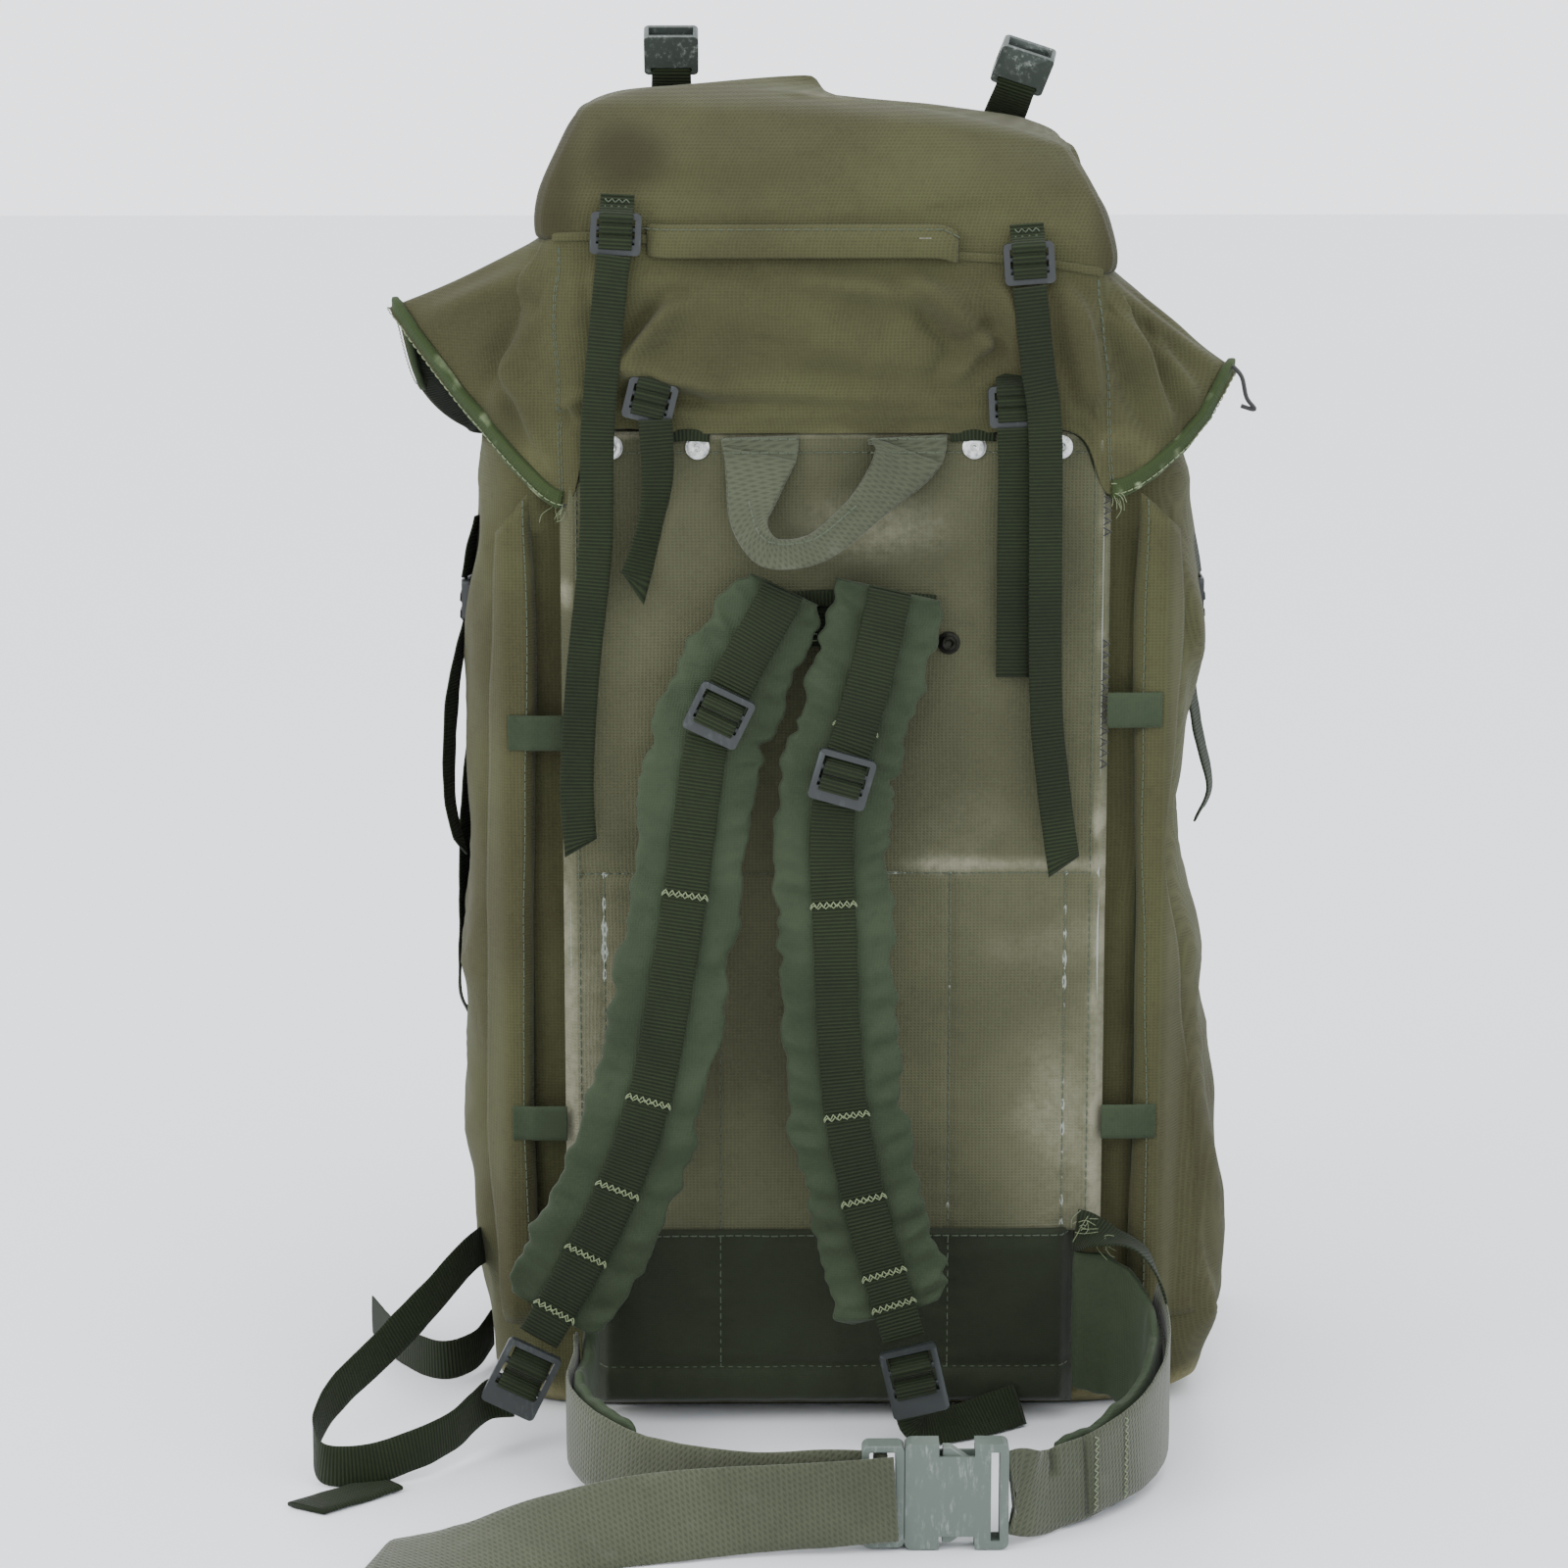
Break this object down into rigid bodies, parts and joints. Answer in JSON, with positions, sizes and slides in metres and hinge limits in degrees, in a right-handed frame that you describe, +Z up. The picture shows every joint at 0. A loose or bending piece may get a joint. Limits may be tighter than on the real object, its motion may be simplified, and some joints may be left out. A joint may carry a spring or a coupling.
{
  "type": "backpack",
  "caption": "Large framed canvas rucksack with padded shoulder straps, haul handle, waist belt with side-release buckle, zipped lid pocket, drawcord collar and front pouch.",
  "frame": {"origin": "centre of the sack's flat base", "axes": "+Z up, -Y towards the harness side with the back panel, shoulder straps and waist belt, +X to the right when facing that side"},
  "size_m": [0.5748, 0.5733, 0.8241],
  "materials": {
    "canvas": "matte",
    "faded_canvas": "matte",
    "base_cloth": "matte",
    "pad_cloth": "satin",
    "collar_cloth": "satin",
    "strap_webbing": "matte",
    "belt_webbing": "matte",
    "binding": "matte",
    "dark_plastic": "satin",
    "buckle_plastic": "satin",
    "zip_tape": "matte",
    "metal": "satin",
    "spring_steel": "satin",
    "cord": "matte",
    "foam": "matte",
    "sheet_plastic": "matte"
  },
  "bodies": {
    "root": {"base_patch": "base_cloth", "main_sack": "canvas", "snow_collar": "collar_cloth", "collar_drawcord": "cord", "cord_lock_barrel": "dark_plastic", "cord_lock_spring": "spring_steel", "back_panel": "faded_canvas", "frame_sheet": "sheet_plastic", "frame_stays": "metal", "back_foam": "foam", "frame_rivets": "metal", "lumbar_pad": "pad_cloth", "panel_snap": "dark_plastic", "strap_yoke": "strap_webbing", "hood_gussets": "canvas", "side_zips": "zip_tape", "side_flaps": "canvas", "edge_loops": "strap_webbing", "front_pouch": "canvas", "pouch_snap_studs": "metal", "front_straps": "strap_webbing", "front_strap_tips": "dark_plastic", "side_straps": "strap_webbing", "side_locks": "dark_plastic", "hip_pad_left": "pad_cloth", "hip_pad_right": "pad_cloth", "belt_webbing_left": "belt_webbing", "belt_webbing_right": "belt_webbing", "hip_strap": "strap_webbing", "belt_tail": "belt_webbing", "buckle_plug": "buckle_plastic", "buckle_socket": "buckle_plastic", "lower_strap_left": "strap_webbing", "lower_strap_right": "strap_webbing"},
    "lid": {"lid_hood": "canvas", "lid_pocket": "canvas", "lid_zip": "zip_tape", "lid_binding": "binding", "lid_locks": "dark_plastic", "lid_tails": "strap_webbing", "lid_tabs": "strap_webbing", "lid_sockets": "buckle_plastic"},
    "lid_slider": {"lid_zip_slider": "metal"},
    "handle": {"haul_handle": "belt_webbing"},
    "shoulder_left": {"shoulder_pad_left": "pad_cloth", "shoulder_webbing_left": "strap_webbing", "strap_slides_left": "dark_plastic"},
    "shoulder_right": {"shoulder_pad_right": "pad_cloth", "shoulder_webbing_right": "strap_webbing", "strap_slides_right": "dark_plastic"},
    "lock_left": {"lower_lock_left": "dark_plastic"},
    "lock_right": {"lower_lock_right": "dark_plastic"},
    "slider_left": {"side_slider_left": "metal"},
    "slider_right": {"side_slider_right": "metal"},
    "flap": {"pouch_flap": "canvas", "pouch_snap_caps": "metal"},
    "cord_button": {"cord_lock_plunger": "dark_plastic"},
    "arm_top": {"prong_top": "buckle_plastic"},
    "arm_bottom": {"prong_bottom": "buckle_plastic"}
  },
  "joints": [
    {"name": "lid_hinge", "type": "hinge", "parent": "root", "child": "lid", "pos_m": [0, -0.141, 0.602], "axis": [1, 0, 0], "range_deg": [0, 95], "deforming": ["lid_tails"]},
    {"name": "lid_zip_slide", "type": "slide", "parent": "lid", "child": "lid_slider", "axis": [-1, 0, 0], "range_m": [0, 0.14]},
    {"name": "haul_handle_lift", "type": "hinge", "parent": "root", "child": "handle", "pos_m": [0, -0.141, 0.596], "axis": [-1, 0, 0], "range_deg": [0, 60]},
    {"name": "shoulder_left_swing", "type": "hinge", "parent": "root", "child": "shoulder_left", "pos_m": [0, -0.1395, 0.514], "axis": [-1, 0, 0], "range_deg": [0, 15], "deforming": ["lower_strap_left"]},
    {"name": "shoulder_right_swing", "type": "hinge", "parent": "root", "child": "shoulder_right", "pos_m": [0, -0.1395, 0.514], "axis": [-1, 0, 0], "range_deg": [0, 15], "deforming": ["lower_strap_right"]},
    {"name": "lower_lock_left_tilt", "type": "hinge", "parent": "shoulder_left", "child": "lock_left", "pos_m": [-0.1776, -0.198, 0.0633], "axis": [-0.8988, 0, 0.4384], "range_deg": [0, 35]},
    {"name": "lower_lock_right_tilt", "type": "hinge", "parent": "shoulder_right", "child": "lock_right", "pos_m": [0.0422, -0.198, 0.0626], "axis": [-0.9744, 0, -0.225], "range_deg": [0, 35]},
    {"name": "side_zip_left_slide", "type": "slide", "parent": "root", "child": "slider_left", "axis": [0, 0, -1], "range_m": [0, 0.44]},
    {"name": "side_zip_right_slide", "type": "slide", "parent": "root", "child": "slider_right", "axis": [0, 0, -1], "range_m": [0, 0.44]},
    {"name": "pouch_flap_lift", "type": "hinge", "parent": "root", "child": "flap", "pos_m": [0, 0.128, 0.397], "axis": [1, 0, 0], "range_deg": [0, 90]},
    {"name": "cord_lock_press", "type": "slide", "parent": "root", "child": "cord_button", "axis": [0, 0, -1], "range_m": [0, 0.005], "stiffness_N_per_m": 250, "deforming": ["cord_lock_spring"]},
    {"name": "buckle_arm_top", "type": "hinge", "parent": "root", "child": "arm_top", "pos_m": [0.0375, -0.346, 0.0475], "axis": [0, 1, 0], "range_deg": [0, 9], "stiffness_Nm_per_rad": 0.5},
    {"name": "buckle_arm_bottom", "type": "hinge", "parent": "root", "child": "arm_bottom", "pos_m": [0.0375, -0.346, 0.0155], "axis": [0, -1, 0], "range_deg": [0, 9], "stiffness_Nm_per_rad": 0.5}
  ],
  "couplings": [
    {"joint": "buckle_arm_bottom", "follows": "buckle_arm_top", "ratio": 1}
  ]
}
